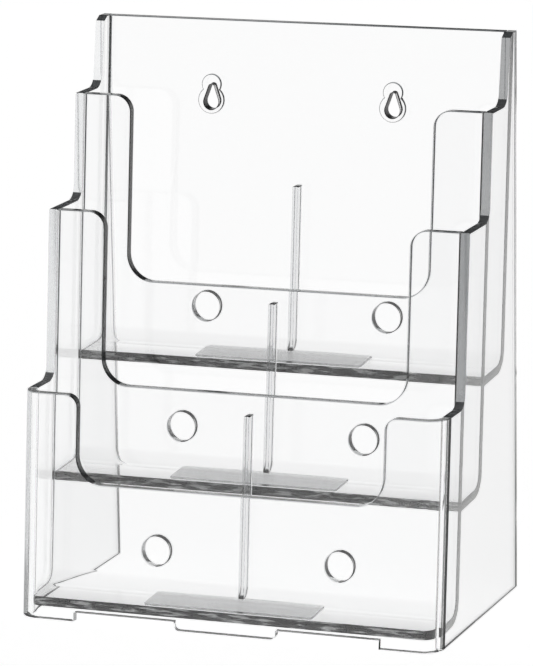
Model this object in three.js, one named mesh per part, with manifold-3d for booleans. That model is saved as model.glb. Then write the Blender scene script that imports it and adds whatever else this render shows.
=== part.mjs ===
// A clear three-tier brochure rack, with a lift-out divider in each pocket.
// Millimetres, +Z up. The front is -Y, and the origin is on the ground at the middle of the rack.
//
// The rack is bonded from clear sheet: two stepped side panels, three trays (each a leaning wall
// that bends forward into a pocket floor), and a front panel. The wall of one tray is the back of
// its own pocket and the front of the pocket behind it. The trays stand between the side panels,
// whose stepped front edges lie flush with the walls. The front panel is the full width, and turns
// a rounded corner at each end to meet the side panels.

import * as THREE from 'three';
import { mergeVertices } from 'three/addons/utils/BufferGeometryUtils.js';
import Module from 'manifold-3d';

const wasm = await Module();
wasm.setup();

// ---- driving dimensions ----------------------------------------------------------------------

const WIDTH = 240;
const HEIGHT = 310;
const SHEET = 5; // thickness of every bonded sheet
const JOINT_GAP = 0.3; // clearance left between two pieces that touch
const WALL_LEAN = THREE.MathUtils.degToRad(6); // every wall leans back, top to the rear
const FLOOR_RISE = THREE.MathUtils.degToRad(3); // every pocket floor rises towards the rear
const POCKET_PITCH = 34.2; // from the front of one wall to the front of the next
const BEND_RADIUS = 8; // inside radius where a wall turns into its floor

// Front edge of each pocket floor, measured to its upper surface.
const FLOOR_HEIGHTS = { lower: 10.8, middle: 71, top: 130.2 };
// The walls that close each pocket at the front: height of the two ears, height of the cut
// between them, and radius of the inner corner of each ear.
const FRONTS = {
  lower: { ears: 122.5, cut: 75, earRadius: 7 },
  middle: { ears: 214.5, cut: 121, earRadius: 9.5 },
  top: { ears: 272, cut: 171, earRadius: 9.5 },
};
const CUT_HALF_WIDTH = 87;
const CUT_CORNER_RADIUS = 15;

const FRONT_CORNER_RADIUS = 11; // outer radius where the front panel turns the corner
const STEP_FILLET = 8; // concave corner where a side panel steps forward
const CHEEK_TOP_FLAT = 7.2; // flat top of the side panel, back to front
const CHEEK_NOSE = { reach: 11.9, drop: 2.4 }; // bevelled upper front corner
const CHEEK_FOOT_REACH = 17.5; // reach of the upper front edge where it meets the top ears

const SKIRT_HEIGHT = 4.8; // gap under the front panel between its feet
const FOOT_INNER_X = 87;
const TAB_HALF_WIDTH = 29;
const TAB_CORNER_RADIUS = 3;

const HOLE_SPACING = 105.4; // between the two keyholes, and between the two round holes
const ROUND_HOLE_RADIUS = 8;
const ROUND_HOLE_ABOVE_FLOOR = 21.8;
const KEYHOLE = { height: 264.9, headRadius: 4.2, neckRadius: 1.5, neckRise: 8 };
const BOSS = { raise: 1.2, lowerRadius: 7.6, lowerHeight: 265.9, upperRadius: 5.7, upperHeight: 274.5 };

const DIVIDER = {
  bladeThickness: 3.2,
  bladeDepth: 7.5,
  bladeHeights: { lower: 100.3, middle: 93.5, top: 91.8 }, // above the front of the pocket floor
  plateWidth: 96,
  plateThickness: 1.2,
  plateSetback: 6.8, // from the wall to the rear edge of the base plate
  plateCornerRadius: 2,
  frontClearance: 0.6,
};

const ARC_SEGMENTS = 8; // straight steps along each rounded corner
const OVERSHOOT = 5; // how far a cutting tool runs past the sheet it cuts

// ---- sizes worked out from those ---------------------------------------------------------------

const LEAN_SLOPE = Math.tan(WALL_LEAN);
const WALL_RUN = SHEET / Math.cos(WALL_LEAN); // thickness of a leaning wall along Y
const DEPTH = WALL_RUN + LEAN_SLOPE * HEIGHT + 3 * POCKET_PITCH;
const REAR = DEPTH / 2;
const FRONT = -DEPTH / 2;
const CHEEK_INNER_X = WIDTH / 2 - SHEET;
const TRAY_HALF_WIDTH = CHEEK_INNER_X - JOINT_GAP;
const FRONT_PANEL_HALF_WIDTH = WIDTH / 2 - FRONT_CORNER_RADIUS; // flat part, between the corners

// Y of the front face of each wall where its plane meets the ground.
const WALL_AT_GROUND = {
  lower: FRONT,
  middle: FRONT + POCKET_PITCH,
  top: FRONT + 2 * POCKET_PITCH,
  back: FRONT + 3 * POCKET_PITCH,
};
const wallFrontY = (wall, z) => WALL_AT_GROUND[wall] + LEAN_SLOPE * z;

const UPRIGHT = new THREE.Matrix4();
// Leans an upright shape back by the same angle as the walls.
const LEAN_SHEAR = new THREE.Matrix4().set(1, 0, 0, 0, 0, 1, LEAN_SLOPE, 0, 0, 0, 1, 0, 0, 0, 0, 1);

// ---- solids and booleans -----------------------------------------------------------------------

function toSolid(geometry) {
  const bare = geometry.clone();
  bare.deleteAttribute('normal');
  bare.deleteAttribute('uv');
  const merged = mergeVertices(bare, 1e-4);
  const mesh = new wasm.Mesh({
    numProp: 3,
    vertProperties: new Float32Array(merged.attributes.position.array),
    triVerts: new Uint32Array(merged.index.array),
  });
  return new wasm.Manifold(mesh);
}

function toGeometry(solid) {
  const mesh = solid.getMesh();
  const geometry = new THREE.BufferGeometry();
  geometry.setAttribute('position', new THREE.BufferAttribute(new Float32Array(mesh.vertProperties), 3));
  geometry.setIndex(new THREE.BufferAttribute(new Uint32Array(mesh.triVerts), 1));
  geometry.computeVertexNormals();
  return geometry;
}

function extrude(shape, depth) {
  return new THREE.ExtrudeGeometry(shape, { depth, bevelEnabled: false, curveSegments: ARC_SEGMENTS });
}

// A side outline, drawn as (Y, Z), given a width along X.
function extrudeAcross(shape, fromX, toX) {
  const axes = new THREE.Matrix4().makeBasis(
    new THREE.Vector3(0, 1, 0),
    new THREE.Vector3(0, 0, 1),
    new THREE.Vector3(1, 0, 0),
  );
  const geometry = extrude(shape, toX - fromX).applyMatrix4(axes).translate(fromX, 0, 0);
  return toSolid(geometry);
}

// A front outline, drawn as (X, Z), running from rearY to frontY, then leant back if asked.
function extrudeForward(shape, rearY, frontY, placement = UPRIGHT) {
  const axes = new THREE.Matrix4().makeBasis(
    new THREE.Vector3(1, 0, 0),
    new THREE.Vector3(0, 0, 1),
    new THREE.Vector3(0, -1, 0),
  );
  const geometry = extrude(shape, rearY - frontY).applyMatrix4(axes).translate(0, rearY, 0);
  return toSolid(geometry.applyMatrix4(placement));
}

// A plan outline, drawn as (X, Y) at ground level, rising along the lean of the walls.
function extrudeUpLean(shape, fromZ, toZ) {
  const geometry = extrude(shape, toZ - fromZ).translate(0, 0, fromZ).applyMatrix4(LEAN_SHEAR);
  return toSolid(geometry);
}

function polygon(points) {
  return new THREE.Shape(points.map(([x, y]) => new THREE.Vector2(x, y)));
}

function rectangle(left, bottom, right, top) {
  return polygon([[left, bottom], [right, bottom], [right, top], [left, top]]);
}

// ---- outlines ----------------------------------------------------------------------------------

// Where a wall bends into its floor: the centre of the bend and the directions out of each face.
function bendOf(wall, floorFrontY, floorFrontZ) {
  const wallNormal = { y: -Math.cos(WALL_LEAN), z: Math.sin(WALL_LEAN) };
  const floorNormal = { y: -Math.sin(FLOOR_RISE), z: Math.cos(FLOOR_RISE) };
  const alongWall = wallNormal.y * WALL_AT_GROUND[wall] + BEND_RADIUS;
  const alongFloor = floorNormal.y * floorFrontY + floorNormal.z * floorFrontZ + BEND_RADIUS;
  const determinant = wallNormal.y * floorNormal.z - wallNormal.z * floorNormal.y;
  return {
    y: (alongWall * floorNormal.z - wallNormal.z * alongFloor) / determinant,
    z: (wallNormal.y * alongFloor - floorNormal.y * alongWall) / determinant,
    wallAngle: -WALL_LEAN,
    floorAngle: FLOOR_RISE - Math.PI / 2,
  };
}

// The tray behind the named front wall: its own wall, the bend and the floor, as (Y, Z).
function trayOutline(wall, frontWall, topZ) {
  const floorZ = FLOOR_HEIGHTS[frontWall];
  const floorY = wallFrontY(frontWall, floorZ) + WALL_RUN + JOINT_GAP;
  const bend = bendOf(wall, floorY, floorZ);
  const shape = new THREE.Shape();
  shape.moveTo(wallFrontY(wall, topZ) + WALL_RUN, topZ);
  shape.lineTo(wallFrontY(wall, topZ), topZ);
  shape.absarc(bend.y, bend.z, BEND_RADIUS, bend.wallAngle, bend.floorAngle, true);
  shape.lineTo(floorY, floorZ);
  shape.lineTo(floorY - LEAN_SLOPE * SHEET, floorZ - SHEET / Math.cos(FLOOR_RISE));
  shape.absarc(bend.y, bend.z, BEND_RADIUS + SHEET, bend.floorAngle, bend.wallAngle, false);
  return shape;
}

// Right half of the cut between the ears, then its mirror image, added to an open outline that
// arrives at the outer top corner of the right ear.
function addEarsAndCut(shape, front) {
  const { ears, cut, earRadius } = front;
  const quarter = Math.PI / 2;
  shape.absarc(CUT_HALF_WIDTH + earRadius, ears - earRadius, earRadius, quarter, 2 * quarter, false);
  shape.absarc(CUT_HALF_WIDTH - CUT_CORNER_RADIUS, cut + CUT_CORNER_RADIUS, CUT_CORNER_RADIUS, 0, -quarter, true);
  shape.absarc(CUT_CORNER_RADIUS - CUT_HALF_WIDTH, cut + CUT_CORNER_RADIUS, CUT_CORNER_RADIUS, -quarter, -2 * quarter, true);
  shape.absarc(-CUT_HALF_WIDTH - earRadius, ears - earRadius, earRadius, 0, quarter, false);
}

// A tray wall seen from the front, as (X, Z), with two ears.
function earedOutline(wall) {
  const { ears } = FRONTS[wall];
  const shape = new THREE.Shape();
  shape.moveTo(-TRAY_HALF_WIDTH, 0);
  shape.lineTo(TRAY_HALF_WIDTH, 0);
  shape.lineTo(TRAY_HALF_WIDTH, ears);
  addEarsAndCut(shape, FRONTS[wall]);
  shape.lineTo(-TRAY_HALF_WIDTH, ears);
  return shape;
}

// The front panel as (X, Z): feet and a middle tab below, ears above.
function frontPanelOutline() {
  const quarter = Math.PI / 2;
  const tabArcX = TAB_HALF_WIDTH - TAB_CORNER_RADIUS;
  const shape = new THREE.Shape();
  shape.moveTo(-FRONT_PANEL_HALF_WIDTH, 0);
  shape.lineTo(-FOOT_INNER_X, 0);
  shape.lineTo(-FOOT_INNER_X, SKIRT_HEIGHT);
  shape.lineTo(-TAB_HALF_WIDTH, SKIRT_HEIGHT);
  shape.absarc(-tabArcX, TAB_CORNER_RADIUS, TAB_CORNER_RADIUS, 2 * quarter, 3 * quarter, false);
  shape.absarc(tabArcX, TAB_CORNER_RADIUS, TAB_CORNER_RADIUS, 3 * quarter, 4 * quarter, false);
  shape.lineTo(TAB_HALF_WIDTH, SKIRT_HEIGHT);
  shape.lineTo(FOOT_INNER_X, SKIRT_HEIGHT);
  shape.lineTo(FOOT_INNER_X, 0);
  shape.lineTo(FRONT_PANEL_HALF_WIDTH, 0);
  shape.lineTo(FRONT_PANEL_HALF_WIDTH, FRONTS.lower.ears);
  addEarsAndCut(shape, FRONTS.lower);
  shape.lineTo(-FRONT_PANEL_HALF_WIDTH, FRONTS.lower.ears);
  return shape;
}

// A side panel as (Y, Z): upright at the rear, with a step forward and down for each pocket.
function cheekOutline() {
  const shape = new THREE.Shape();
  shape.moveTo(REAR, 0);
  shape.lineTo(REAR, HEIGHT);
  shape.lineTo(REAR - CHEEK_TOP_FLAT, HEIGHT);
  shape.lineTo(REAR - CHEEK_NOSE.reach, HEIGHT - CHEEK_NOSE.drop);
  addStep(shape, REAR - CHEEK_FOOT_REACH, FRONTS.top.ears);
  shape.lineTo(wallFrontY('top', FRONTS.top.ears), FRONTS.top.ears);
  addStep(shape, wallFrontY('top', FRONTS.middle.ears), FRONTS.middle.ears);
  shape.lineTo(wallFrontY('middle', FRONTS.middle.ears), FRONTS.middle.ears);
  addStep(shape, wallFrontY('middle', FRONTS.lower.ears), FRONTS.lower.ears);
  shape.lineTo(wallFrontY('lower', FRONTS.lower.ears), FRONTS.lower.ears);
  shape.lineTo(FRONT, 0);
  return shape;
}

// The concave corner where the front edge, coming down to y at height z, turns forward.
function addStep(shape, y, z) {
  const centreY = y + LEAN_SLOPE * STEP_FILLET - STEP_FILLET / Math.cos(WALL_LEAN);
  shape.absarc(centreY, z + STEP_FILLET, STEP_FILLET, -WALL_LEAN, -Math.PI / 2, true);
}

function circle(x, z, radius) {
  const shape = new THREE.Shape();
  shape.absarc(x, z, radius, 0, 2 * Math.PI, false);
  return shape;
}

// A teardrop with its wide end down, which drops over a screw head and hangs on its neck.
function keyholeOutline(x) {
  const { height, headRadius, neckRadius, neckRise } = KEYHOLE;
  const taper = Math.asin((headRadius - neckRadius) / neckRise);
  const shape = new THREE.Shape();
  shape.absarc(x, height, headRadius, Math.PI - taper, 2 * Math.PI + taper, false);
  shape.absarc(x, height + neckRise, neckRadius, taper, Math.PI - taper, false);
  return shape;
}

// ---- pieces --------------------------------------------------------------------------------------

// The front panel's right-hand corner seen from above, from its flat to the edge of the side panel.
function cornerOutline() {
  const radius = FRONT_CORNER_RADIUS;
  const quarter = Math.PI / 2;
  const centreX = WIDTH / 2 - radius;
  const centreY = FRONT + radius;
  const shape = new THREE.Shape();
  shape.moveTo(centreX - JOINT_GAP, centreY - radius);
  shape.lineTo(centreX, centreY - radius);
  shape.absarc(centreX, centreY, radius, -quarter, 0, false);
  shape.absarc(centreX, centreY, radius - SHEET, 0, -quarter, true);
  shape.lineTo(centreX - JOINT_GAP, centreY - radius + SHEET);
  return shape;
}

function addCorners(panel) {
  const right = extrudeUpLean(cornerOutline(), 0, FRONTS.lower.ears);
  return panel.add(right).add(right.mirror([1, 0, 0]));
}

// The square front corner that each side panel gives up to the front panel.
function cornerNotch() {
  const plan = rectangle(
    CHEEK_INNER_X - OVERSHOOT,
    FRONT - OVERSHOOT,
    WIDTH / 2 + OVERSHOOT,
    FRONT + FRONT_CORNER_RADIUS + JOINT_GAP,
  );
  return extrudeUpLean(plan, -OVERSHOOT, FRONTS.lower.ears + OVERSHOOT);
}

function buildRightCheek() {
  return extrudeAcross(cheekOutline(), CHEEK_INNER_X, WIDTH / 2).subtract(cornerNotch());
}

function throughCut(shape) {
  return extrudeForward(shape, REAR + OVERSHOOT, FRONT - OVERSHOOT);
}

function cutRoundHoles(tray, floorZ) {
  let result = tray;
  for (const side of [-1, 1]) {
    const hole = circle((side * HOLE_SPACING) / 2, floorZ + ROUND_HOLE_ABOVE_FLOOR, ROUND_HOLE_RADIUS);
    result = result.subtract(throughCut(hole));
  }
  return result;
}

// Both keyholes, each inside a raised figure-of-eight rim on the front of the wall.
function addKeyholes(tray) {
  const wallY = WALL_AT_GROUND.back;
  let result = tray;
  for (const side of [-1, 1]) {
    const x = (side * HOLE_SPACING) / 2;
    const lobes = [
      circle(x, BOSS.lowerHeight, BOSS.lowerRadius),
      circle(x, BOSS.upperHeight, BOSS.upperRadius),
    ];
    for (const lobe of lobes) {
      result = result.add(extrudeForward(lobe, wallY + SHEET / 2, wallY - BOSS.raise, LEAN_SHEAR));
    }
    result = result.subtract(throughCut(keyholeOutline(x)));
  }
  return result;
}

function buildBackTray() {
  const tray = extrudeAcross(trayOutline('back', 'top', HEIGHT), -TRAY_HALF_WIDTH, TRAY_HALF_WIDTH);
  return cutRoundHoles(addKeyholes(tray), FLOOR_HEIGHTS.top);
}

function buildEaredTray(wall, frontWall) {
  const outline = trayOutline(wall, frontWall, FRONTS[wall].ears);
  const blank = extrudeAcross(outline, -TRAY_HALF_WIDTH, TRAY_HALF_WIDTH);
  const tray = blank.intersect(throughCut(earedOutline(wall)));
  return cutRoundHoles(tray, FLOOR_HEIGHTS[frontWall]);
}

function buildMiddleTray() {
  return buildEaredTray('top', 'middle');
}

// The lowest floor has rounded front corners, to sit inside the rounded ends of the front panel.
function buildLowerTray() {
  return buildEaredTray('middle', 'lower').intersect(lowestTrayPlan());
}

function lowestTrayPlan() {
  const frontY = wallFrontY('lower', FLOOR_HEIGHTS.lower) + SHEET;
  const cornerRadius = FRONT_CORNER_RADIUS - SHEET - JOINT_GAP;
  const cornerX = TRAY_HALF_WIDTH - cornerRadius;
  const shape = new THREE.Shape();
  shape.absarc(-cornerX, frontY + cornerRadius, cornerRadius, Math.PI, 1.5 * Math.PI, false);
  shape.absarc(cornerX, frontY + cornerRadius, cornerRadius, 1.5 * Math.PI, 2 * Math.PI, false);
  shape.lineTo(TRAY_HALF_WIDTH, REAR);
  shape.lineTo(-TRAY_HALF_WIDTH, REAR);
  return toSolid(extrude(shape, HEIGHT));
}

function buildFrontPanel() {
  const ears = FRONTS.lower.ears;
  const slab = polygon([
    [FRONT, 0],
    [FRONT + WALL_RUN, 0],
    [wallFrontY('lower', ears) + WALL_RUN, ears],
    [wallFrontY('lower', ears), ears],
  ]);
  const blank = extrudeAcross(slab, -WIDTH / 2, WIDTH / 2);
  return addCorners(blank.intersect(throughCut(frontPanelOutline())));
}

// A lift-out divider: an upright blade against the wall and a thin base plate on the floor.
function buildDivider(wall, frontWall) {
  const floorZ = FLOOR_HEIGHTS[frontWall];
  const floorY = wallFrontY(frontWall, floorZ) + WALL_RUN + JOINT_GAP;
  const bend = bendOf(wall, floorY, floorZ);
  const top = floorZ + DIVIDER.bladeHeights[frontWall];
  const restingZ = (y) => floorZ + JOINT_GAP + Math.tan(FLOOR_RISE) * (y - floorY);

  const heelY = wallFrontY(wall, floorZ) - DIVIDER.bladeDepth;
  const blade = new THREE.Shape();
  blade.moveTo(wallFrontY(wall, top) - DIVIDER.bladeDepth, top);
  blade.lineTo(wallFrontY(wall, top) - JOINT_GAP, top);
  blade.absarc(bend.y, bend.z, BEND_RADIUS - JOINT_GAP, bend.wallAngle, bend.floorAngle, true);
  blade.lineTo(heelY, restingZ(heelY));

  const rearY = wallFrontY(wall, floorZ) - DIVIDER.plateSetback;
  const frontY = wallFrontY(frontWall, floorZ) + WALL_RUN + DIVIDER.frontClearance;
  const plate = polygon([
    [frontY, restingZ(frontY)],
    [rearY, restingZ(rearY)],
    [rearY, restingZ(rearY) + DIVIDER.plateThickness],
    [frontY, restingZ(frontY) + DIVIDER.plateThickness],
  ]);
  const halfPlate = DIVIDER.plateWidth / 2;
  const roundedPlan = extrude(roundedRectangle(halfPlate, frontY, rearY, DIVIDER.plateCornerRadius), HEIGHT);

  const bladeSolid = extrudeAcross(blade, -DIVIDER.bladeThickness / 2, DIVIDER.bladeThickness / 2);
  const plateSolid = extrudeAcross(plate, -halfPlate, halfPlate).intersect(toSolid(roundedPlan));
  return bladeSolid.add(plateSolid);
}

function roundedRectangle(halfWidth, frontY, rearY, radius) {
  const quarter = Math.PI / 2;
  const shape = new THREE.Shape();
  shape.absarc(halfWidth - radius, frontY + radius, radius, -quarter, 0, false);
  shape.absarc(halfWidth - radius, rearY - radius, radius, 0, quarter, false);
  shape.absarc(radius - halfWidth, rearY - radius, radius, quarter, 2 * quarter, false);
  shape.absarc(radius - halfWidth, frontY + radius, radius, 2 * quarter, 3 * quarter, false);
  return shape;
}

// ---- assembly ------------------------------------------------------------------------------------

function clearPlastic(color) {
  return new THREE.MeshStandardMaterial({
    color,
    roughness: 0.05,
    metalness: 0,
    transparent: true,
    opacity: 0.35,
  });
}

function addPiece(name, solid, material) {
  const mesh = new THREE.Mesh(toGeometry(solid), material);
  mesh.name = name;
  group.add(mesh);
}

const group = new THREE.Group();
const sheetPlastic = clearPlastic(0xe9eef0);
const dividerPlastic = clearPlastic(0xdfe4e6);
const rightCheek = buildRightCheek();

addPiece('side_panel_right', rightCheek, sheetPlastic);
addPiece('side_panel_left', rightCheek.mirror([1, 0, 0]), sheetPlastic);
addPiece('back_tray', buildBackTray(), sheetPlastic);
addPiece('middle_tray', buildMiddleTray(), sheetPlastic);
addPiece('lower_tray', buildLowerTray(), sheetPlastic);
addPiece('front_panel', buildFrontPanel(), sheetPlastic);
addPiece('divider_top', buildDivider('back', 'top'), dividerPlastic);
addPiece('divider_middle', buildDivider('top', 'middle'), dividerPlastic);
addPiece('divider_lower', buildDivider('middle', 'lower'), dividerPlastic);

export default group;
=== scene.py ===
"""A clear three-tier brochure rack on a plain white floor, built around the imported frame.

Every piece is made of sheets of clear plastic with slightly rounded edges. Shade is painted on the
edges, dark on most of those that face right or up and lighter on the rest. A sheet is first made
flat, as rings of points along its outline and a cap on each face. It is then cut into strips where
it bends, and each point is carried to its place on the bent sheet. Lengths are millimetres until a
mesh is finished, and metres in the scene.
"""

import math

import bmesh
import bpy
from mathutils import Matrix, Vector
from mathutils.geometry import tessellate_polygon


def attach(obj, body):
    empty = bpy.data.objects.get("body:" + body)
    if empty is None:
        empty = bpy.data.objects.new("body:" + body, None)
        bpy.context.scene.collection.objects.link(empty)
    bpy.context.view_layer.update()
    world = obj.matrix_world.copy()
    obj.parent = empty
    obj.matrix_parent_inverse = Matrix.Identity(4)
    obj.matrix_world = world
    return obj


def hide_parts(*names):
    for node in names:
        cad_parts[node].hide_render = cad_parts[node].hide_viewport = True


MM = 0.001

# ---- dimensions of the rack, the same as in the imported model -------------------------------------

WIDTH = 240.0
HEIGHT = 310.0
SHEET = 5.0
JOINT_GAP = 0.3
WALL_LEAN = math.radians(6)
FLOOR_RISE = math.radians(3)
POCKET_PITCH = 34.2  # from each wall to the next one back
BEND_RADIUS = 8.0  # inside the turn of a wall into its floor

WALLS = ("lower", "middle", "top", "back")  # from the front to the rear
FLOOR_HEIGHTS = {"lower": 10.8, "middle": 71.0, "top": 130.2}  # of each pocket, at its front edge
FRONTS = {  # heights of the ears and the cut of each pocket's front
    "lower": {"ears": 122.5, "cut": 75.0, "ear_radius": 7.0},
    "middle": {"ears": 214.5, "cut": 121.0, "ear_radius": 9.5},
    "top": {"ears": 272.0, "cut": 171.0, "ear_radius": 9.5},
}
CUT_HALF_WIDTH = 87.0  # of the U-shaped cut between the ears
CUT_CORNER_RADIUS = 15.0

FRONT_CORNER_RADIUS = 11.0
UPPER_FLOOR_CORNER_RADIUS = 1.0
STEP_FILLET = 8.0
SIDE_TOP_FLAT = 7.2  # length of a side's level top
SIDE_NOSE_REACH = 11.9  # from its rear edge to the front of the slope below that
SIDE_NOSE_DROP = 2.4
SIDE_FOOT_REACH = 17.5  # from its rear edge to its front edge, at the highest step

SKIRT_HEIGHT = 4.8  # of the front panel's feet
FOOT_INNER_X = 87.0
TAB_HALF_WIDTH = 29.0  # of the tab between the feet
TAB_CORNER_RADIUS = 3.0

HOLE_SPACING = 105.4
ROUND_HOLE_RADIUS = 8.0
ROUND_HOLE_ABOVE_FLOOR = 21.8
KEYHOLE_HEIGHT = 264.9  # of the middle of its wide end
KEYHOLE_HEAD_RADIUS = 4.2
KEYHOLE_NECK_RADIUS = 1.5
KEYHOLE_NECK_RISE = 8.0  # from there to the middle of its narrow end
BOSS_RAISE = 1.2  # of the boss around a keyhole, in front of the wall
BOSS_LOWER_RADIUS = 7.6
BOSS_LOWER_HEIGHT = 265.9
BOSS_UPPER_RADIUS = 5.7
BOSS_UPPER_HEIGHT = 274.5

BLADE_THICKNESS = 3.2
BLADE_DEPTH = 7.5  # front to back
BLADE_HEIGHTS = {"lower": 100.3, "middle": 93.5, "top": 91.8}  # above each pocket's floor
PLATE_WIDTH = 96.0
PLATE_THICKNESS = 1.2
PLATE_SETBACK = 6.8  # from the wall behind
PLATE_CORNER_RADIUS = 2.0
PLATE_FRONT_CLEARANCE = 0.6

# ---- shape and finish of the edges ---------------------------------------------------------------

EDGE_RADIUS = 0.45  # rounded edge of every sheet
FINE_EDGE_RADIUS = 0.4  # of a boss or a base plate
EDGE_STEPS = 3
MITRE_LIMIT = 0.3  # least cosine of half a corner's turn, for a mitre of the offset edge
ARC_STEPS = 14  # straight steps in each quarter of a rounded corner
KEYHOLE_STEPS = 42  # round the head of a keyhole, and each half of its boss
HOLE_STEPS = 64
BEND_STEPS = 16  # strips where a wall turns into its floor
CORNER_STEPS = 10  # strips where a wall turns a corner
SQUARING_LENGTH = 12.0  # above a bend, where the cut edges turn level
MERGE_DISTANCE = 0.0005
CUTTING_TOLERANCE = 0.0001
RIGHT_FACING_SHADE_SLOPE = 0.3  # slope above which a wall's edge that faces right is painted dark as shade
UP_FACING_SHADE_SLOPE = 0.7  # slope below which a side's edge that faces up is painted dark as shade
BONDED_DEPTH = 0.5  # how far in from the front of a floor its bonded edge reaches
FACE_WEIGHT = 100  # 50 is even, and at 100 the large faces rule the shading of their edges

# The axes of a flat sheet.
ACROSS = 0
ALONG = 1

# The finishes of a piece, in the order of its materials.
FACE = 0
# edges painted dark as shade
SHADED_EDGE = 1
# edges painted a lighter shade, or left in a divider's own tint
LIGHTER_EDGE = 2
BONDED_EDGE = 3
PLATE = 3  # of a divider, in place of a bonded edge

# ---- clear plastic: tints, painted shade and highlights, polish and streaks ----------------------

PLASTIC_IOR = 1.49
CEMENT_IOR = 1.12  # across a bond, where the cement leaves almost no reflection
PLATE_IOR = 1.15  # of a base plate, which hardly reflects
SHADED_EDGE_CLEARNESS = 0.35  # of an edge painted dark as shade, whose painted tint takes the rest of the light
SHEET_TINT = (0.99, 0.991, 0.992, 1)
# painted shade, dark, on the edges that face right or up
EDGE_SHADE_PAINT = (0.02, 0.021, 0.022, 1)
# painted shade on the sides' edges that face up
SIDE_EDGE_SHADE_PAINT = (0.14, 0.143, 0.146, 1)
# lighter painted shade on the other edges
SOFT_EDGE_SHADE_PAINT = (0.6, 0.605, 0.61, 1)
# the right side's other edges, painted darker as shade
RIGHT_SIDE_SHADE_PAINT = (0.42, 0.425, 0.43, 1)
# the left side's other edges, painted almost clear as light
LEFT_SIDE_LIGHT_PAINT = (0.95, 0.955, 0.96, 1)
DIVIDER_TINT = (0.9, 0.905, 0.91, 1)
PLATE_TINT = (0.78, 0.783, 0.786, 1)
SHEET_ABSORPTION = {"color": (0.55, 0.57, 0.58, 1), "density": 4.0}
DIVIDER_ABSORPTION = {"color": (0.5, 0.52, 0.53, 1), "density": 20.0}

POLISH = (0.01, 0.035)  # lowest and highest roughness, where a sheet has been handled
EDGE_POLISH = (0.08, 0.16)
PLATE_POLISH = (0.12, 0.2)
HAZE_SIZE = 60.0  # patches per metre of better and worse polish
HAZE_DETAIL = 4
RIPPLE_SIZE = 9.0  # waves per metre in a cast sheet
RIPPLE_DETAIL = 1
RIPPLE_DISTANCE = 0.00002
RIPPLE_STRENGTH = 0.15

# A bonded edge is painted dark as the shade seen along it, with painted highlights in streaks.
BOND_PAINTED_SHADE = (0.03, 0.031, 0.032, 1)
BOND_PAINTED_HIGHLIGHT = (0.95, 0.955, 0.96, 1)
BOND_STREAKS = (80.0, 80.0, 600.0)  # streaks per metre across, along and up the front of a floor
BOND_DETAIL = 3
BOND_COVER = (0.49, 0.61)  # the levels of the noise between which painted shade turns to painted highlight
BOND_CLEARNESS = 0.35  # transmission at a painted highlight, where the cement has left a gap

# ---- floor, sky and camera, in metres ------------------------------------------------------------

GROUND_RADIUS = 30.0
GROUND_SEGMENTS = 96
GROUND_DROP = 0.0004
GROUND_COLOUR = (0.9, 0.9, 0.9, 1)
GROUND_ROUGHNESS = 0.9
GROUND_GLOW = 0.905
GLOW_COLOUR = (1, 1, 1, 1)
REFLECTED_SHARE = 0.55  # of the brightness of the floor and the sky, where the plastic reflects them
SKY_GLOW = 1.0
SKY_BRIGHT = 1.0  # near the horizon
SKY_DARK = 0.06  # overhead
SKY_FADE = (0.14, 0.42)  # sine of the elevation where the sky starts to darken, and where it ends

AZIMUTH = math.radians(20.497)
ELEVATION = math.radians(12.414)
ROLL = math.radians(-0.736)
CAMERA_DISTANCE = 2.405
CAMERA_TARGET = Vector((0.0003, 0, 0.1504))
CAMERA_REACH = 100  # the farthest that it sees
LENS = 240.7  # millimetres, as the sensor is
SENSOR_WIDTH = 36

LIGHT_BOUNCES = 40  # off or through the faces of the sheets
GLOSSY_BOUNCES = 24
TRANSPARENT_BOUNCES = 16
BRIGHTEST_BOUNCE = 4  # takes out stray bright dots

# ---- sizes worked out from those -----------------------------------------------------------------

LEAN_SLOPE = math.tan(WALL_LEAN)
WALL_RUN = SHEET / math.cos(WALL_LEAN)
DEPTH = WALL_RUN + LEAN_SLOPE * HEIGHT + (len(WALLS) - 1) * POCKET_PITCH
REAR = DEPTH / 2
FRONT = -DEPTH / 2
SIDE_INNER_X = WIDTH / 2 - SHEET
TRAY_HALF_WIDTH = SIDE_INNER_X - JOINT_GAP
WALL_AT_GROUND = {wall: FRONT + index * POCKET_PITCH for index, wall in enumerate(WALLS)}
FRONT_PANEL_FLAT = WIDTH / 2 - FRONT_CORNER_RADIUS
QUARTER = math.pi / 2
FRONT_PANEL_REACH = FRONT_PANEL_FLAT + QUARTER * FRONT_CORNER_RADIUS  # to the end of its corners
LOWER_FLOOR_CORNER_RADIUS = FRONT_CORNER_RADIUS - SHEET - JOINT_GAP


def wall_front_y(wall, z):
    """Where the leaning front face of a wall is at height z."""
    return WALL_AT_GROUND[wall] + LEAN_SLOPE * z


# ---- outlines ------------------------------------------------------------------------------------


def arc(centre_x, centre_y, radius, start, end, steps=ARC_STEPS):
    """Points along an arc, both ends included."""
    points = []
    for step in range(steps + 1):
        angle = start + (end - start) * step / steps
        x = centre_x + radius * math.cos(angle)
        y = centre_y + radius * math.sin(angle)
        points.append((x, y))
    return points


def without_repeats(points):
    """A closed outline without the points where one stretch ends and the next begins."""
    kept = []
    for point in points:
        if not kept or math.dist(point, kept[-1]) > MERGE_DISTANCE:
            kept.append(point)
    if math.dist(kept[0], kept[-1]) <= MERGE_DISTANCE:
        kept.pop()
    return kept


def circle(x, y, radius):
    """A hole runs clockwise, with the sheet on its left, as an outer edge does."""
    return without_repeats(arc(x, y, radius, 0, -2 * math.pi, HOLE_STEPS))


# ---- flat sheets ---------------------------------------------------------------------------------


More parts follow.
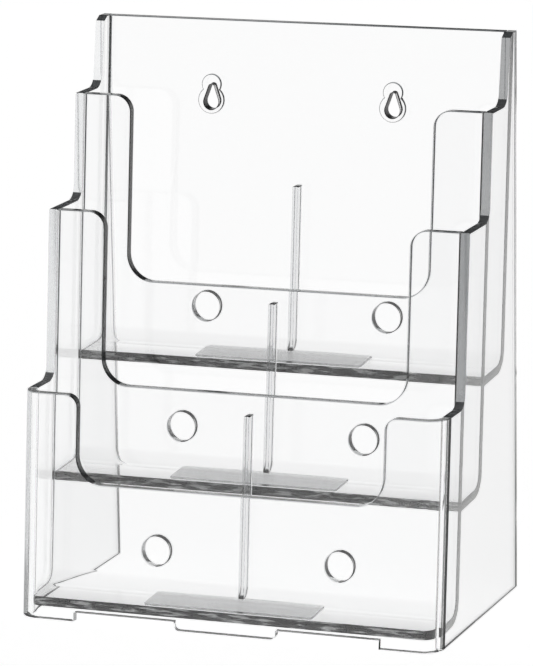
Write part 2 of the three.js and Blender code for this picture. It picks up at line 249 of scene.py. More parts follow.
def offset_loop(points, distance):
    """Moves a closed loop of points to its left, keeping its corners mitred."""
    moved = []
    count = len(points)
    for index, point in enumerate(points):
        before = Vector(points[index - 1])
        after = Vector(points[(index + 1) % count])
        here = Vector(point)
        incoming = (here - before).normalized()
        outgoing = (after - here).normalized()
        left_in = Vector((-incoming.y, incoming.x))
        left_out = Vector((-outgoing.y, outgoing.x))
        middle = (left_in + left_out).normalized()
        spread = max(middle.dot(left_in), MITRE_LIMIT)
        moved.append(tuple(here + middle * (distance / spread)))
    return moved


def rounded_edge(front, rear, radius):
    """(inset, depth) of each ring from the front face, around the rounded edge, to the rear."""
    rings = []
    for step in range(EDGE_STEPS + 1):
        angle = QUARTER * step / EDGE_STEPS
        rings.append((radius * (1 - math.sin(angle)), front + radius * (1 - math.cos(angle))))
    rings.append((0, (front + rear) / 2))
    for step in range(EDGE_STEPS + 1):
        angle = QUARTER * step / EDGE_STEPS
        rings.append((radius * (1 - math.cos(angle)), rear - radius * (1 - math.sin(angle))))
    return rings


def painted_shade_edge(start, end, depth):
    """The finish of an edge between two points of an outline, here painted dark as shade all round."""
    return SHADED_EDGE


def hole_edge(start, end, depth):
    """A round hole's edge is painted lighter on its left half and dark as shade on its right."""
    return SHADED_EDGE if end[1] < start[1] else LIGHTER_EDGE


def add_rings(mesh, loop, rings, edge_finish=painted_shade_edge):
    """Joins rings of points around one loop, and returns the first ring and the last."""
    made = []
    for inset, depth in rings:
        ring = [mesh.verts.new((x, y, depth)) for x, y in offset_loop(loop, inset)]
        made.append(ring)
    count = len(loop)
    for near, far in zip(made, made[1:]):
        for index in range(count):
            following = (index + 1) % count
            face = mesh.faces.new((near[index], near[following], far[following], far[index]))
            face.material_index = edge_finish(loop[index], loop[following], near[index].co.z)
    return made[0], made[-1]


def add_cap(mesh, rings):
    """Fills the face bounded by an outer ring and any number of inner ones."""
    corners = [vertex for ring in rings for vertex in ring]
    for triangle in tessellate_polygon([[vertex.co for vertex in ring] for ring in rings]):
        mesh.faces.new([corners[index] for index in triangle])


def flat_sheet(outline, holes=(), thickness=SHEET, edge_radius=EDGE_RADIUS, edge_finish=painted_shade_edge):
    """A closed sheet with its front face at depth 0 and rounded edges all round."""
    mesh = bmesh.new()
    rings = rounded_edge(0, thickness, edge_radius)
    ends = [add_rings(mesh, outline, rings, edge_finish)]
    ends += [add_rings(mesh, hole, rings, hole_edge) for hole in holes]
    add_cap(mesh, [first for first, _ in ends])
    add_cap(mesh, [last for _, last in ends])
    return mesh


def cut_across(mesh, axis, positions):
    """Adds an edge right across the sheet at each position along one axis."""
    normal = Vector((0, 0, 0))
    normal[axis] = 1
    for position in positions:
        bmesh.ops.bisect_plane(
            mesh,
            geom=[*mesh.verts, *mesh.edges, *mesh.faces],
            plane_co=normal * position,
            plane_no=normal,
            dist=CUTTING_TOLERANCE,
        )


def steps_between(start, end, count):
    """Evenly spaced positions, both ends included."""
    return [start + (end - start) * step / count for step in range(count + 1)]


# ---- where a flat point goes on a leaning wall or a bent tray ------------------------------------


class Tray:
    """The path of one tray's front face: along its floor, round the bend and up its wall."""

    def __init__(self, wall, front_wall):
        self.wall = wall
        self.floor_z = FLOOR_HEIGHTS[front_wall]
        self.floor_y = wall_front_y(front_wall, self.floor_z) + WALL_RUN + JOINT_GAP
        self.bend_y, self.bend_z = self.bend_centre()
        self.floor_angle = FLOOR_RISE - QUARTER
        end_y = self.bend_y + BEND_RADIUS * math.cos(self.floor_angle)
        end_z = self.bend_z + BEND_RADIUS * math.sin(self.floor_angle)
        self.floor_length = math.hypot(end_y - self.floor_y, end_z - self.floor_z)
        self.bend_length = BEND_RADIUS * (-WALL_LEAN - self.floor_angle)
        self.wall_start = self.floor_length + self.bend_length
        self.wall_start_z = self.bend_z - BEND_RADIUS * math.sin(WALL_LEAN)

    def bend_centre(self):
        """(y, z) of the bend's axis, a bend radius in from both the wall and the floor."""
        wall_normal = (-math.cos(WALL_LEAN), math.sin(WALL_LEAN))
        floor_normal = (-math.sin(FLOOR_RISE), math.cos(FLOOR_RISE))
        along_wall = wall_normal[0] * WALL_AT_GROUND[self.wall] + BEND_RADIUS
        along_floor = floor_normal[0] * self.floor_y + floor_normal[1] * self.floor_z + BEND_RADIUS
        determinant = wall_normal[0] * floor_normal[1] - wall_normal[1] * floor_normal[0]
        y = (along_wall * floor_normal[1] - wall_normal[1] * along_floor) / determinant
        z = (wall_normal[0] * along_floor - floor_normal[0] * along_wall) / determinant
        return y, z

    def length_at(self, z):
        """Length along the tray, from the front of the floor, where the wall reaches height z."""
        return self.wall_start + (z - self.wall_start_z) / math.cos(WALL_LEAN)

    def place(self, point):
        """Carries a flat point (across, along, depth) to its place on the tray."""
        across, along, depth = point
        if along < self.floor_length:
            y, z = self.on_floor(along, depth)
        elif along < self.wall_start:
            y, z = self.on_bend(along, depth)
        else:
            y, z = self.on_wall(along, depth)
        return Vector((across, y, z))

    def on_floor(self, along, depth):
        """(y, z) on the floor, whose front edge leans with the wall in front of it."""
        forward = 1 - along / self.floor_length
        shear = (LEAN_SLOPE + math.tan(FLOOR_RISE)) * forward
        y = self.floor_y + along * math.cos(FLOOR_RISE) + depth * (math.sin(FLOOR_RISE) - shear)
        z = self.floor_z + along * math.sin(FLOOR_RISE) - depth * math.cos(FLOOR_RISE)
        return y, z

    def on_bend(self, along, depth):
        """(y, z) on the bend between the floor and the wall."""
        angle = self.floor_angle + (along - self.floor_length) / BEND_RADIUS
        radius = BEND_RADIUS + depth
        y = self.bend_y + radius * math.cos(angle)
        z = self.bend_z + radius * math.sin(angle)
        return y, z

    def on_wall(self, along, depth):
        """(y, z) on the wall, whose cut edges turn level over a short length above the bend."""
        rise = along - self.wall_start
        squared = min(rise / SQUARING_LENGTH, 1)
        z = self.wall_start_z + rise * math.cos(WALL_LEAN)
        run = depth * (math.cos(WALL_LEAN) * (1 - squared) + squared / math.cos(WALL_LEAN))
        drop = depth * math.sin(WALL_LEAN) * (1 - squared)
        return wall_front_y(self.wall, z) + run, z - drop


def place_on_front_panel(point):
    """Carries a flat point of the front panel to its leaning face, or round a corner of it."""
    across, z, depth = point
    front_y = wall_front_y("lower", z)
    if abs(across) <= FRONT_PANEL_FLAT:
        return Vector((across, front_y + depth / math.cos(WALL_LEAN), z))
    angle = (abs(across) - FRONT_PANEL_FLAT) / FRONT_CORNER_RADIUS
    radius = FRONT_CORNER_RADIUS - depth
    x = FRONT_PANEL_FLAT + radius * math.sin(angle)
    y = front_y + FRONT_CORNER_RADIUS - radius * math.cos(angle)
    return Vector((math.copysign(x, across), y, z))


def corner_cuts():
    """Where the front panel is cut into strips, laid flat."""
    right = steps_between(FRONT_PANEL_FLAT, FRONT_PANEL_REACH, CORNER_STEPS)
    return [*right, *[-position for position in right]]


# ---- materials -----------------------------------------------------------------------------------


def clear_plastic(name, tint, polish, absorption, ior=PLASTIC_IOR, clearness=1):
    """Clear plastic with the faint waviness of a cast sheet and uneven polish."""
    material = bpy.data.materials.new(name)
    material.use_nodes = True
    shader = material.node_tree.nodes["Principled BSDF"]
    shader.inputs["Base Color"].default_value = tint
    shader.inputs["IOR"].default_value = ior
    shader.inputs["Transmission Weight"].default_value = clearness
    add_ripple(material)
    add_haze(material, polish)
    add_absorption(material, absorption)
    return material


def add_ripple(material):
    """Bends the surface very slightly, as a cast sheet is bent."""
    nodes = material.node_tree.nodes
    links = material.node_tree.links
    place = nodes.new("ShaderNodeTexCoord")
    ripple = nodes.new("ShaderNodeTexNoise")
    ripple.inputs["Scale"].default_value = RIPPLE_SIZE
    ripple.inputs["Detail"].default_value = RIPPLE_DETAIL
    links.new(place.outputs["Object"], ripple.inputs["Vector"])
    bump = nodes.new("ShaderNodeBump")
    bump.inputs["Strength"].default_value = RIPPLE_STRENGTH
    bump.inputs["Distance"].default_value = RIPPLE_DISTANCE
    links.new(ripple.outputs["Fac"], bump.inputs["Height"])
    links.new(bump.outputs["Normal"], nodes["Principled BSDF"].inputs["Normal"])


def add_haze(material, polish):
    """Varies the roughness in patches, between the two values of a polish."""
    nodes = material.node_tree.nodes
    links = material.node_tree.links
    place = nodes.new("ShaderNodeTexCoord")
    haze = nodes.new("ShaderNodeTexNoise")
    haze.inputs["Scale"].default_value = HAZE_SIZE
    haze.inputs["Detail"].default_value = HAZE_DETAIL
    links.new(place.outputs["Object"], haze.inputs["Vector"])
    spread = nodes.new("ShaderNodeMapRange")
    spread.inputs["To Min"].default_value = polish[0]
    spread.inputs["To Max"].default_value = polish[1]
    links.new(haze.outputs["Fac"], spread.inputs["Value"])
    links.new(spread.outputs["Result"], nodes["Principled BSDF"].inputs["Roughness"])


def add_absorption(material, absorption):
    """Takes a little of the light inside the plastic."""
    nodes = material.node_tree.nodes
    volume = nodes.new("ShaderNodeVolumeAbsorption")
    volume.inputs["Color"].default_value = absorption["color"]
    volume.inputs["Density"].default_value = absorption["density"]
    output = nodes["Material Output"]
    material.node_tree.links.new(volume.outputs["Volume"], output.inputs["Volume"])


def shaded_edge_plastic(name, absorption, tint=EDGE_SHADE_PAINT):
    """Half-clear plastic with a dark tint, painted as the shade that an edge shows."""
    return clear_plastic(name, tint, EDGE_POLISH, absorption, clearness=SHADED_EDGE_CLEARNESS)


def add_bond_streaks(material):
    """Painted shade on a bonded edge, streaked with painted highlights where the cement left gaps."""
    nodes = material.node_tree.nodes
    links = material.node_tree.links
    shader = nodes["Principled BSDF"]
    streaks = bond_noise(material)

    tints = nodes.new("ShaderNodeValToRGB")
    for element, position, tint in zip(tints.color_ramp.elements, BOND_COVER, (BOND_PAINTED_SHADE, BOND_PAINTED_HIGHLIGHT)):
        element.position = position
        element.color = tint
    links.new(streaks, tints.inputs["Fac"])
    links.new(tints.outputs["Color"], shader.inputs["Base Color"])

    clearness = nodes.new("ShaderNodeMapRange")
    clearness.inputs["From Min"].default_value = BOND_COVER[0]
    clearness.inputs["From Max"].default_value = BOND_COVER[1]
    clearness.inputs["To Min"].default_value = 1
    clearness.inputs["To Max"].default_value = BOND_CLEARNESS
    links.new(streaks, clearness.inputs["Value"])
    links.new(clearness.outputs["Result"], shader.inputs["Transmission Weight"])


def bond_noise(material):
    """The output of a noise drawn out into level streaks."""
    nodes = material.node_tree.nodes
    links = material.node_tree.links
    place = nodes.new("ShaderNodeTexCoord")
    stretch = nodes.new("ShaderNodeMapping")
    stretch.inputs["Scale"].default_value = BOND_STREAKS
    links.new(place.outputs["Object"], stretch.inputs["Vector"])
    noise = nodes.new("ShaderNodeTexNoise")
    noise.inputs["Scale"].default_value = 1  # the streaks have been scaled already
    noise.inputs["Detail"].default_value = BOND_DETAIL
    links.new(stretch.outputs["Vector"], noise.inputs["Vector"])
    return noise.outputs["Fac"]


def dim_in_reflections(node_tree, value, socket):
    """Feeds a brightness to a socket, less where it is seen as a reflection in the plastic."""
    nodes = node_tree.nodes
    links = node_tree.links
    path = nodes.new("ShaderNodeLightPath")
    share = nodes.new("ShaderNodeMapRange")
    share.inputs["To Min"].default_value = value
    share.inputs["To Max"].default_value = value * REFLECTED_SHARE
    links.new(path.outputs["Is Reflection Ray"], share.inputs["Value"])
    links.new(share.outputs["Result"], socket)


def ground_material():
    """The evenly lit white of the studio floor."""
    material = bpy.data.materials.new("white_floor")
    material.use_nodes = True
    shader = material.node_tree.nodes["Principled BSDF"]
    shader.inputs["Base Color"].default_value = GROUND_COLOUR
    shader.inputs["Roughness"].default_value = GROUND_ROUGHNESS
    shader.inputs["Emission Color"].default_value = GLOW_COLOUR
    dim_in_reflections(material.node_tree, GROUND_GLOW, shader.inputs["Emission Strength"])
    return material


def sheet_finishes(name, edge_shade_tint, soft_shade_tint, bonded_edge):
    """Materials of a bonded sheet: face, dark painted-shade edge, lighter edge and bonded edge."""
    return [
        clear_plastic(f"{name}_face", SHEET_TINT, POLISH, SHEET_ABSORPTION),
        shaded_edge_plastic(f"{name}_painted_shade_edge", SHEET_ABSORPTION, edge_shade_tint),
        clear_plastic(f"{name}_lighter_edge_finish", soft_shade_tint, EDGE_POLISH, SHEET_ABSORPTION),
        bonded_edge,
    ]


def divider_finishes():
    """Materials of a divider: face, dark painted-shade edge, lighter edge and base plate."""
    return [
        clear_plastic("divider_face", DIVIDER_TINT, POLISH, DIVIDER_ABSORPTION),
        shaded_edge_plastic("divider_painted_shade_edge", DIVIDER_ABSORPTION),
        clear_plastic("divider_lighter_edge_finish", DIVIDER_TINT, EDGE_POLISH, DIVIDER_ABSORPTION),
        clear_plastic("divider_plate", PLATE_TINT, PLATE_POLISH, DIVIDER_ABSORPTION, PLATE_IOR),
    ]


# ---- finishing a piece ---------------------------------------------------------------------------


def finish_piece(mesh, name, node, body, materials, place=None):
    """Turns a sheet made in millimetres into a piece of the scene that stands for a CAD node."""
    for vertex in mesh.verts:
        if place:
            vertex.co = place(vertex.co.copy())
        vertex.co *= MM
    bmesh.ops.remove_doubles(mesh, verts=mesh.verts, dist=MERGE_DISTANCE * MM)
    bmesh.ops.dissolve_degenerate(mesh, edges=mesh.edges, dist=MERGE_DISTANCE * MM)
    bmesh.ops.recalc_face_normals(mesh, faces=mesh.faces)
    for face in mesh.faces:
        face.smooth = True
    data = bpy.data.meshes.new(name)
    mesh.to_mesh(data)
    mesh.free()
    piece = bpy.data.objects.new(name, data)
    bpy.context.scene.collection.objects.link(piece)
    for material in materials:
        data.materials.append(material)
    normals = piece.modifiers.new("even_faces", "WEIGHTED_NORMAL")
    normals.weight = FACE_WEIGHT
    normals.keep_sharp = True
    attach(piece, body)
    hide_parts(node)
    return piece


def finish_sheet(mesh, name, node, materials, place):
    """Finishes one of the bonded sheets, which are all on one body."""
    return finish_piece(mesh, name, node, "rack", materials, place)


# ---- the trays -----------------------------------------------------------------------------------


def floor_front(corner_radius):
    """The front edge of a pocket floor, from its left corner to its right."""
    centre = TRAY_HALF_WIDTH - corner_radius
    left = arc(-centre, corner_radius, corner_radius, 2 * QUARTER, 3 * QUARTER)
    right = arc(centre, corner_radius, corner_radius, 3 * QUARTER, 4 * QUARTER)
    return [*left, *right]


def ears_and_cut(front, height_of):
    """From the outer top corner of the right ear, down through the cut, to that of the left."""
    radius = front["ear_radius"]
    ears = height_of(front["ears"])
    cut = height_of(front["cut"])
    ear_x = CUT_HALF_WIDTH + radius
    cut_x = CUT_HALF_WIDTH - CUT_CORNER_RADIUS
    return [
        *arc(ear_x, ears - radius, radius, QUARTER, 2 * QUARTER),
        *arc(cut_x, cut + CUT_CORNER_RADIUS, CUT_CORNER_RADIUS, 0, -QUARTER),
        *arc(-cut_x, cut + CUT_CORNER_RADIUS, CUT_CORNER_RADIUS, -QUARTER, -2 * QUARTER),
        *arc(-ear_x, ears - radius, radius, 0, QUARTER),
    ]


def eared_tray_outline(tray, corner_radius):
    """A tray laid flat: its floor, and a wall with two ears."""
    front = FRONTS[tray.wall]
    ears = tray.length_at(front["ears"])
    outline = floor_front(corner_radius)
    outline.append((TRAY_HALF_WIDTH, ears))
    outline += ears_and_cut(front, tray.length_at)
    outline.append((-TRAY_HALF_WIDTH, ears))
    return without_repeats(outline)


def wall_edge(start, end, depth):
    """A wall's edge is painted dark as shade where it faces right, and lighter elsewhere."""
    rise = end[1] - start[1]
    run = abs(end[0] - start[0])
    return SHADED_EDGE if rise > RIGHT_FACING_SHADE_SLOPE * run else LIGHTER_EDGE


def tray_edge(start, end, depth):
    """The front of a floor is cemented to the wall in front of it, and painted there as shade."""
    is_floor_front = max(start[1], end[1]) < BONDED_DEPTH
    return BONDED_EDGE if is_floor_front else wall_edge(start, end, depth)


def round_holes(tray):
    """The left and the right round hole of a wall."""
    height = tray.length_at(tray.floor_z + ROUND_HOLE_ABOVE_FLOOR)
    return [circle(side * HOLE_SPACING / 2, height, ROUND_HOLE_RADIUS) for side in (-1, 1)]


def bend_cuts(tray):
    """Where a tray is cut into strips, laid flat."""
    across_bend = steps_between(tray.floor_length, tray.wall_start, BEND_STEPS)
    return [*across_bend, tray.wall_start + SQUARING_LENGTH]


def build_eared_tray(wall, front_wall, corner_radius, name, node, materials):
    """A tray whose wall has two ears and is the front of the pocket behind it."""
    tray = Tray(wall, front_wall)
    outline = eared_tray_outline(tray, corner_radius)
    mesh = flat_sheet(outline, round_holes(tray), edge_finish=tray_edge)
    cut_across(mesh, ALONG, bend_cuts(tray))
    return finish_sheet(mesh, name, node, materials, tray.place)


def keyhole(x, height_of):
    """A teardrop with its wide end down, running clockwise."""
    taper = math.asin((KEYHOLE_HEAD_RADIUS - KEYHOLE_NECK_RADIUS) / KEYHOLE_NECK_RISE)
    head = height_of(KEYHOLE_HEIGHT)
    neck = height_of(KEYHOLE_HEIGHT + KEYHOLE_NECK_RISE)
    points = arc(x, neck, KEYHOLE_NECK_RADIUS, math.pi - taper, taper)
    points += arc(x, head, KEYHOLE_HEAD_RADIUS, taper, -math.pi - taper, KEYHOLE_STEPS)
    return points


def boss_outline(x, height_of):
    """The figure of eight raised around a keyhole, running anticlockwise."""
    lower = height_of(BOSS_LOWER_HEIGHT)
    upper = height_of(BOSS_UPPER_HEIGHT)
    apart = upper - lower
    along = (apart**2 + BOSS_LOWER_RADIUS**2 - BOSS_UPPER_RADIUS**2) / (2 * apart)
    waist = math.sqrt(BOSS_LOWER_RADIUS**2 - along**2)
    lower_angle = math.atan2(along, waist)
    upper_angle = math.atan2(along - apart, waist)
    left_waist = math.pi - lower_angle
    right_waist = 2 * math.pi + lower_angle
    points = arc(x, upper, BOSS_UPPER_RADIUS, upper_angle, math.pi - upper_angle, KEYHOLE_STEPS)
    points += arc(x, lower, BOSS_LOWER_RADIUS, left_waist, right_waist, KEYHOLE_STEPS)
    return without_repeats(points)


def boss_edge():
    """(inset, depth) from the wall's face, up the side of the boss, to the boss's own face."""
    rings = [(0.0, 0.0)]
    for step in range(EDGE_STEPS + 1):
        angle = QUARTER * step / EDGE_STEPS
        inset = FINE_EDGE_RADIUS * (1 - math.cos(angle))
        rings.append((inset, -BOSS_RAISE + FINE_EDGE_RADIUS * (1 - math.sin(angle))))
    return rings


def boss_finish(start, end, depth):
    """The moulded side of a boss takes the lighter edge finish, not the dark painted shade."""
    return LIGHTER_EDGE


def build_back_tray(materials):
    """The rearmost tray, as tall as the rack, with two keyholes in raised bosses."""
    tray = Tray("back", "top")
    top = tray.length_at(HEIGHT)
    outline = floor_front(UPPER_FLOOR_CORNER_RADIUS)
    outline += [(TRAY_HALF_WIDTH, top), (-TRAY_HALF_WIDTH, top)]

    mesh = bmesh.new()
    plain_rings = rounded_edge(0, SHEET, EDGE_RADIUS)
    keyhole_rings = rounded_edge(-BOSS_RAISE, SHEET, EDGE_RADIUS)
    ends = [add_rings(mesh, without_repeats(outline), plain_rings, tray_edge)]
    ends += [add_rings(mesh, hole, plain_rings, hole_edge) for hole in round_holes(tray)]
    front_rings = [first for first, _ in ends]
    rear_rings = [last for _, last in ends]
    for side in (-1, 1):
        x = side * HOLE_SPACING / 2
        on_wall, on_boss = add_rings(mesh, boss_outline(x, tray.length_at), boss_edge(), boss_finish)
        hole_front, hole_rear = add_rings(mesh, keyhole(x, tray.length_at), keyhole_rings)
        add_cap(mesh, [on_boss, hole_front])
        front_rings.append(on_wall)
        rear_rings.append(hole_rear)
    add_cap(mesh, front_rings)
    add_cap(mesh, rear_rings)
    cut_across(mesh, ALONG, bend_cuts(tray))
    return finish_sheet(mesh, "rear_sheet", "back_tray", materials, tray.place)


# ---- the front panel and the sides ---------------------------------------------------------------


def upright_length(z):
    """The front panel is drawn by height, so a height needs no change."""
    return z


def front_panel_outline():
    """The front panel laid flat: feet and a middle tab below, ears above."""
    front = FRONTS["lower"]
    reach = FRONT_PANEL_REACH
    tab_x = TAB_HALF_WIDTH - TAB_CORNER_RADIUS
    outline = [(-reach, 0), (-FOOT_INNER_X, 0)]
    outline += [(-FOOT_INNER_X, SKIRT_HEIGHT), (-TAB_HALF_WIDTH, SKIRT_HEIGHT)]
    outline += arc(-tab_x, TAB_CORNER_RADIUS, TAB_CORNER_RADIUS, 2 * QUARTER, 3 * QUARTER)
    outline += arc(tab_x, TAB_CORNER_RADIUS, TAB_CORNER_RADIUS, 3 * QUARTER, 4 * QUARTER)
    outline += [(TAB_HALF_WIDTH, SKIRT_HEIGHT), (FOOT_INNER_X, SKIRT_HEIGHT), (FOOT_INNER_X, 0)]
    outline += [(reach, 0), (reach, front["ears"])]
    outline += ears_and_cut(front, upright_length)
    outline += [(-reach, front["ears"])]
    return without_repeats(outline)


def front_panel_edge(start, end, depth):
    """Clear at the front panel's foot and ends, but for a bond at its right end, painted as shade."""
    if min(start[0], end[0]) == FRONT_PANEL_REACH and depth < SHEET / 2:
        return BONDED_EDGE
    is_end = min(abs(start[0]), abs(end[0])) == FRONT_PANEL_REACH
    is_foot = max(start[1], end[1]) <= SKIRT_HEIGHT
    return FACE if is_end or is_foot else wall_edge(start, end, depth)


def build_front_panel(materials):
    """The front of the lowest pocket, which turns a corner at each side."""
    mesh = flat_sheet(front_panel_outline(), edge_finish=front_panel_edge)
    cut_across(mesh, ACROSS, corner_cuts())
    return finish_sheet(mesh, "front_sheet", "front_panel", materials, place_on_front_panel)


def step_fillet(y, z):
    """The concave corner where a side's front edge, coming down to y at height z, turns forward."""
    centre_y = y + LEAN_SLOPE * STEP_FILLET - STEP_FILLET / math.cos(WALL_LEAN)
    return arc(centre_y, z + STEP_FILLET, STEP_FILLET, -WALL_LEAN, -QUARTER)


def side_outline():
    """A side as (Y, Z), with its front edge set back where the front panel turns the corner."""
    outline = [(REAR, 0), (REAR, HEIGHT), (REAR - SIDE_TOP_FLAT, HEIGHT)]
    outline.append((REAR - SIDE_NOSE_REACH, HEIGHT - SIDE_NOSE_DROP))
    outline += step_fillet(REAR - SIDE_FOOT_REACH, FRONTS["top"]["ears"])
    for wall, next_wall in (("top", "middle"), ("middle", "lower")):
        ears = FRONTS[wall]["ears"]
        step = FRONTS[next_wall]["ears"]
        outline.append((wall_front_y(wall, ears), ears))
        outline += step_fillet(wall_front_y(wall, step), step)
    setback = FRONT_CORNER_RADIUS + JOINT_GAP
    ears = FRONTS["lower"]["ears"]
    outline += [(wall_front_y("lower", ears) + setback, ears), (FRONT + setback, 0)]
    return without_repeats(outline)


def side_edge(start, end, depth):
    """A side's edge is painted dark as shade where it faces up, lighter in front, behind and below."""
    forward = start[0] - end[0]
    fall = abs(end[1] - start[1])
    return SHADED_EDGE if forward > UP_FACING_SHADE_SLOPE * fall else LIGHTER_EDGE


def right_side_edge(start, end, depth):
    """The right side shows its bond, painted dark as shade, where the front panel covers its edge."""
    is_covered = start[1] == FRONTS["lower"]["ears"] and end[1] == 0
    return BONDED_EDGE if is_covered else side_edge(start, end, depth)


def build_side(side, materials):
    """A flat side sheet, bonded to the ends of the trays; side is 1 at the right, -1 at the left."""
    hand = "right" if side > 0 else "left"
    edge_finish = right_side_edge if side > 0 else side_edge

    def place(point):
        return Vector((side * (WIDTH / 2 - point.z), point.x, point.y))

    mesh = flat_sheet(side_outline(), edge_finish=edge_finish)
    return finish_sheet(mesh, f"side_sheet_{hand}", f"side_panel_{hand}", materials, place)


# ---- the dividers --------------------------------------------------------------------------------


def divider_blade(tray, height):
    """The upright of a divider as (Y, Z), shaped to the wall and the bend behind it."""
    top = tray.floor_z + height
    heel_y = wall_front_y(tray.wall, tray.floor_z) - BLADE_DEPTH
    arc_radius = BEND_RADIUS - JOINT_GAP
    outline = [(wall_front_y(tray.wall, top) - BLADE_DEPTH, top)]
    outline.append((heel_y, resting_height(tray, heel_y)))
    outline += arc(tray.bend_y, tray.bend_z, arc_radius, tray.floor_angle, -WALL_LEAN)
    outline.append((wall_front_y(tray.wall, top) - JOINT_GAP, top))
    return without_repeats(outline)


def resting_height(tray, y):
    """Height of the underside of a divider, which lies just above the sloping floor."""
    return tray.floor_z + JOINT_GAP + math.tan(FLOOR_RISE) * (y - tray.floor_y)


def divider_plate(tray, front_y, rear_y):
    """The base plate of a divider seen from above."""
    half = PLATE_WIDTH / 2
    radius = PLATE_CORNER_RADIUS
    outline = arc(half - radius, front_y + radius, radius, -QUARTER, 0)
    outline += arc(half - radius, rear_y - radius, radius, 0, QUARTER)
    outline += arc(radius - half, rear_y - radius, radius, QUARTER, 2 * QUARTER)
    outline += arc(radius - half, front_y + radius, radius, 2 * QUARTER, 3 * QUARTER)
    return without_repeats(outline)


def blade_edge(start, end, depth):
    """A blade's edge is painted dark as shade across its level top, and lighter elsewhere."""
    return SHADED_EDGE if start[1] == end[1] else LIGHTER_EDGE


def build_blade(tray, height):
    """The solid upright of a divider, in its place."""
    outline = divider_blade(tray, height)
    blade = flat_sheet(outline, thickness=BLADE_THICKNESS, edge_finish=blade_edge)
    for vertex in blade.verts:
        y, z, depth = vertex.co
        vertex.co = Vector((BLADE_THICKNESS / 2 - depth, y, z))
    return blade


def build_plate(tray, front_wall):
    """The solid base plate of a divider, in its place."""
    front_y = wall_front_y(front_wall, tray.floor_z) + WALL_RUN + PLATE_FRONT_CLEARANCE
    rear_y = wall_front_y(tray.wall, tray.floor_z) - PLATE_SETBACK
    outline = divider_plate(tray, front_y, rear_y)
    plate = flat_sheet(outline, thickness=PLATE_THICKNESS, edge_radius=FINE_EDGE_RADIUS)
    for face in plate.faces:
        face.material_index = PLATE
    for vertex in plate.verts:
        x, y, depth = vertex.co
        vertex.co = Vector((x, y, resting_height(tray, y) + PLATE_THICKNESS - depth))
    return plate


def build_divider(wall, front_wall, materials):
    """A lift-out divider of the pocket between two walls, which is a body of its own."""
    tray = Tray(wall, front_wall)
    node = f"divider_{front_wall}"
    blade = build_blade(tray, BLADE_HEIGHTS[front_wall])
    plate = build_plate(tray, front_wall)
    piece = finish_piece(blade, f"{front_wall}_divider", node, node, materials)
    weld(piece, plate)
    return piece


def weld(piece, other):
    """Joins another solid to a piece, so that nothing is left inside the clear plastic."""
    for vertex in other.verts:
        vertex.co *= MM
    bmesh.ops.recalc_face_normals(other, faces=other.faces)
    for face in other.faces:
        face.smooth = True
    data = bpy.data.meshes.new("weld")
    other.to_mesh(data)
    other.free()
    tool = bpy.data.objects.new("weld", data)
    bpy.context.scene.collection.objects.link(tool)
    for material in piece.data.materials:
        data.materials.append(material)
    union = piece.modifiers.new("weld", "BOOLEAN")
    union.operation = "UNION"
    union.solver = "EXACT"
    union.object = tool
    bpy.context.view_layer.update()
    evaluated = piece.evaluated_get(bpy.context.evaluated_depsgraph_get())
    joined = bpy.data.meshes.new_from_object(evaluated)
    piece.modifiers.remove(union)
    old = piece.data
    piece.data = joined
    bpy.data.meshes.remove(old)
    bpy.data.objects.remove(tool)


# ---- floor, light and camera ---------------------------------------------------------------------


def build_ground():
    """The studio floor, a wide white disc just below the rack's feet."""
    mesh = bmesh.new()
    bmesh.ops.create_circle(mesh, cap_ends=True, segments=GROUND_SEGMENTS, radius=GROUND_RADIUS)
    data = bpy.data.meshes.new("floor")
    mesh.to_mesh(data)
    mesh.free()
    floor = bpy.data.objects.new("floor", data)
    floor.location.z = -GROUND_DROP
    bpy.context.scene.collection.objects.link(floor)
    data.materials.append(ground_material())


def build_sky():
    """Soft light that is white around the horizon and dark overhead."""
    world = bpy.data.worlds.new("studio")
    bpy.context.scene.world = world
    world.use_nodes = True
    nodes = world.node_tree.nodes
    links = world.node_tree.links
    place = nodes.new("ShaderNodeTexCoord")
    split = nodes.new("ShaderNodeSeparateXYZ")
    links.new(place.outputs["Generated"], split.inputs["Vector"])
    fade = nodes.new("ShaderNodeMapRange")
    fade.interpolation_type = "SMOOTHSTEP"
    fade.inputs["From Min"].default_value = SKY_FADE[0]
    fade.inputs["From Max"].default_value = SKY_FADE[1]
    fade.inputs["To Min"].default_value = SKY_BRIGHT
    fade.inputs["To Max"].default_value = SKY_DARK
    links.new(split.outputs["Z"], fade.inputs["Value"])
    background = nodes["Background"]
    dim_in_reflections(world.node_tree, SKY_GLOW, background.inputs["Strength"])
    links.new(fade.outputs["Result"], background.inputs["Color"])


def camera_axes():
    """The directions of the camera's right, its top and its back."""
    flat_distance = math.cos(ELEVATION)
    back_x = math.sin(AZIMUTH) * flat_distance
    back_y = -math.cos(AZIMUTH) * flat_distance
    back = Vector((back_x, back_y, math.sin(ELEVATION)))
    right = (-back).cross(Vector((0, 0, 1))).normalized()
    up = back.cross(right)
    turned_right = right * math.cos(ROLL) + up * math.sin(ROLL)
    turned_up = up * math.cos(ROLL) - right * math.sin(ROLL)
    return turned_right, turned_up, back


def build_camera():
    """A long lens, a little above the rack and to the right of it."""
    data = bpy.data.cameras.new("camera")
    data.lens = LENS
    data.sensor_width = SENSOR_WIDTH
    data.clip_end = CAMERA_REACH
    right, up, back = camera_axes()
    rotation = Matrix((right, up, back)).transposed().to_4x4()
    position = CAMERA_TARGET + back * CAMERA_DISTANCE
    camera = bpy.data.objects.new("camera", data)
    camera.matrix_world = Matrix.Translation(position) @ rotation
    bpy.context.scene.collection.objects.link(camera)
    bpy.context.scene.camera = camera


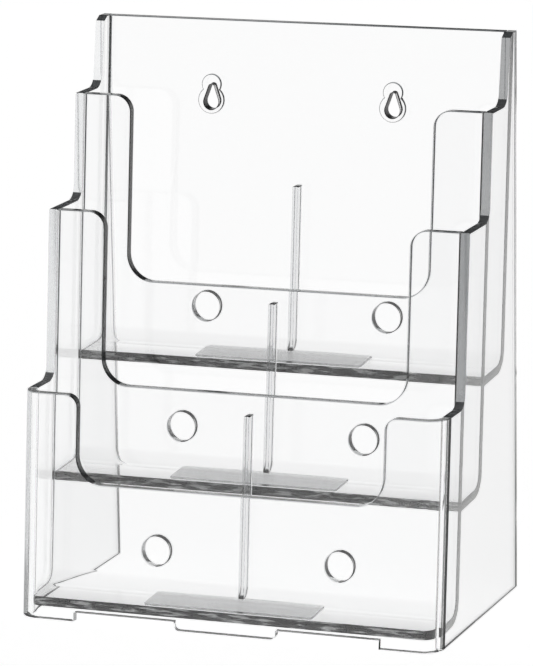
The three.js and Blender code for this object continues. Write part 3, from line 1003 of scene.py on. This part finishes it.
def set_up_light_paths():
    """Light passes through many faces of clear sheet before it reaches the eye."""
    scene = bpy.context.scene
    scene.view_settings.view_transform = "Standard"
    scene.cycles.max_bounces = LIGHT_BOUNCES
    scene.cycles.transmission_bounces = LIGHT_BOUNCES
    scene.cycles.glossy_bounces = GLOSSY_BOUNCES
    scene.cycles.transparent_max_bounces = TRANSPARENT_BOUNCES
    scene.cycles.caustics_refractive = True
    scene.cycles.caustics_reflective = True
    scene.cycles.sample_clamp_indirect = BRIGHTEST_BOUNCE


# ---- the whole scene -----------------------------------------------------------------------------


def build_bonded_sheets():
    """The two sides, the front panel and the three trays."""
    shaded_bond = clear_plastic("shaded_bond", BOND_PAINTED_SHADE, EDGE_POLISH, SHEET_ABSORPTION, CEMENT_IOR)
    streaked_shaded_bond = clear_plastic("streaked_shaded_bond", BOND_PAINTED_SHADE, EDGE_POLISH, SHEET_ABSORPTION)
    add_bond_streaks(streaked_shaded_bond)
    # the right side's edges are painted darker as shade, and the left side's lighter as light
    build_side(1, sheet_finishes("right_side", SIDE_EDGE_SHADE_PAINT, RIGHT_SIDE_SHADE_PAINT, shaded_bond))
    build_side(-1, sheet_finishes("left_side", SIDE_EDGE_SHADE_PAINT, LEFT_SIDE_LIGHT_PAINT, shaded_bond))
    build_front_panel(sheet_finishes("front", EDGE_SHADE_PAINT, SOFT_EDGE_SHADE_PAINT, shaded_bond))
    tray = sheet_finishes("tray", EDGE_SHADE_PAINT, SOFT_EDGE_SHADE_PAINT, streaked_shaded_bond)
    build_back_tray(tray)
    upper_corner = UPPER_FLOOR_CORNER_RADIUS
    lower_corner = LOWER_FLOOR_CORNER_RADIUS
    build_eared_tray("top", "middle", upper_corner, "middle_sheet", "middle_tray", tray)
    build_eared_tray("middle", "lower", lower_corner, "lower_sheet", "lower_tray", tray)


def build_dividers():
    """One divider in each pocket, between a wall and the wall in front of it."""
    materials = divider_finishes()
    for wall, front_wall in (("back", "top"), ("top", "middle"), ("middle", "lower")):
        build_divider(wall, front_wall, materials)


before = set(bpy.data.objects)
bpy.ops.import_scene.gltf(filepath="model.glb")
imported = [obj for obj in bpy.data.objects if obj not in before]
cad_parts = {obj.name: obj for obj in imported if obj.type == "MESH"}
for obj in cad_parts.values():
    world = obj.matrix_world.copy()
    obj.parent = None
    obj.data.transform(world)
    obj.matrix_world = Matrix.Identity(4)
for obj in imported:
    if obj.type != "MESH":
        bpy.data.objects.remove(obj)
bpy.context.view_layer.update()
build_camera()
build_ground()
build_sky()
set_up_light_paths()
build_bonded_sheets()
build_dividers()
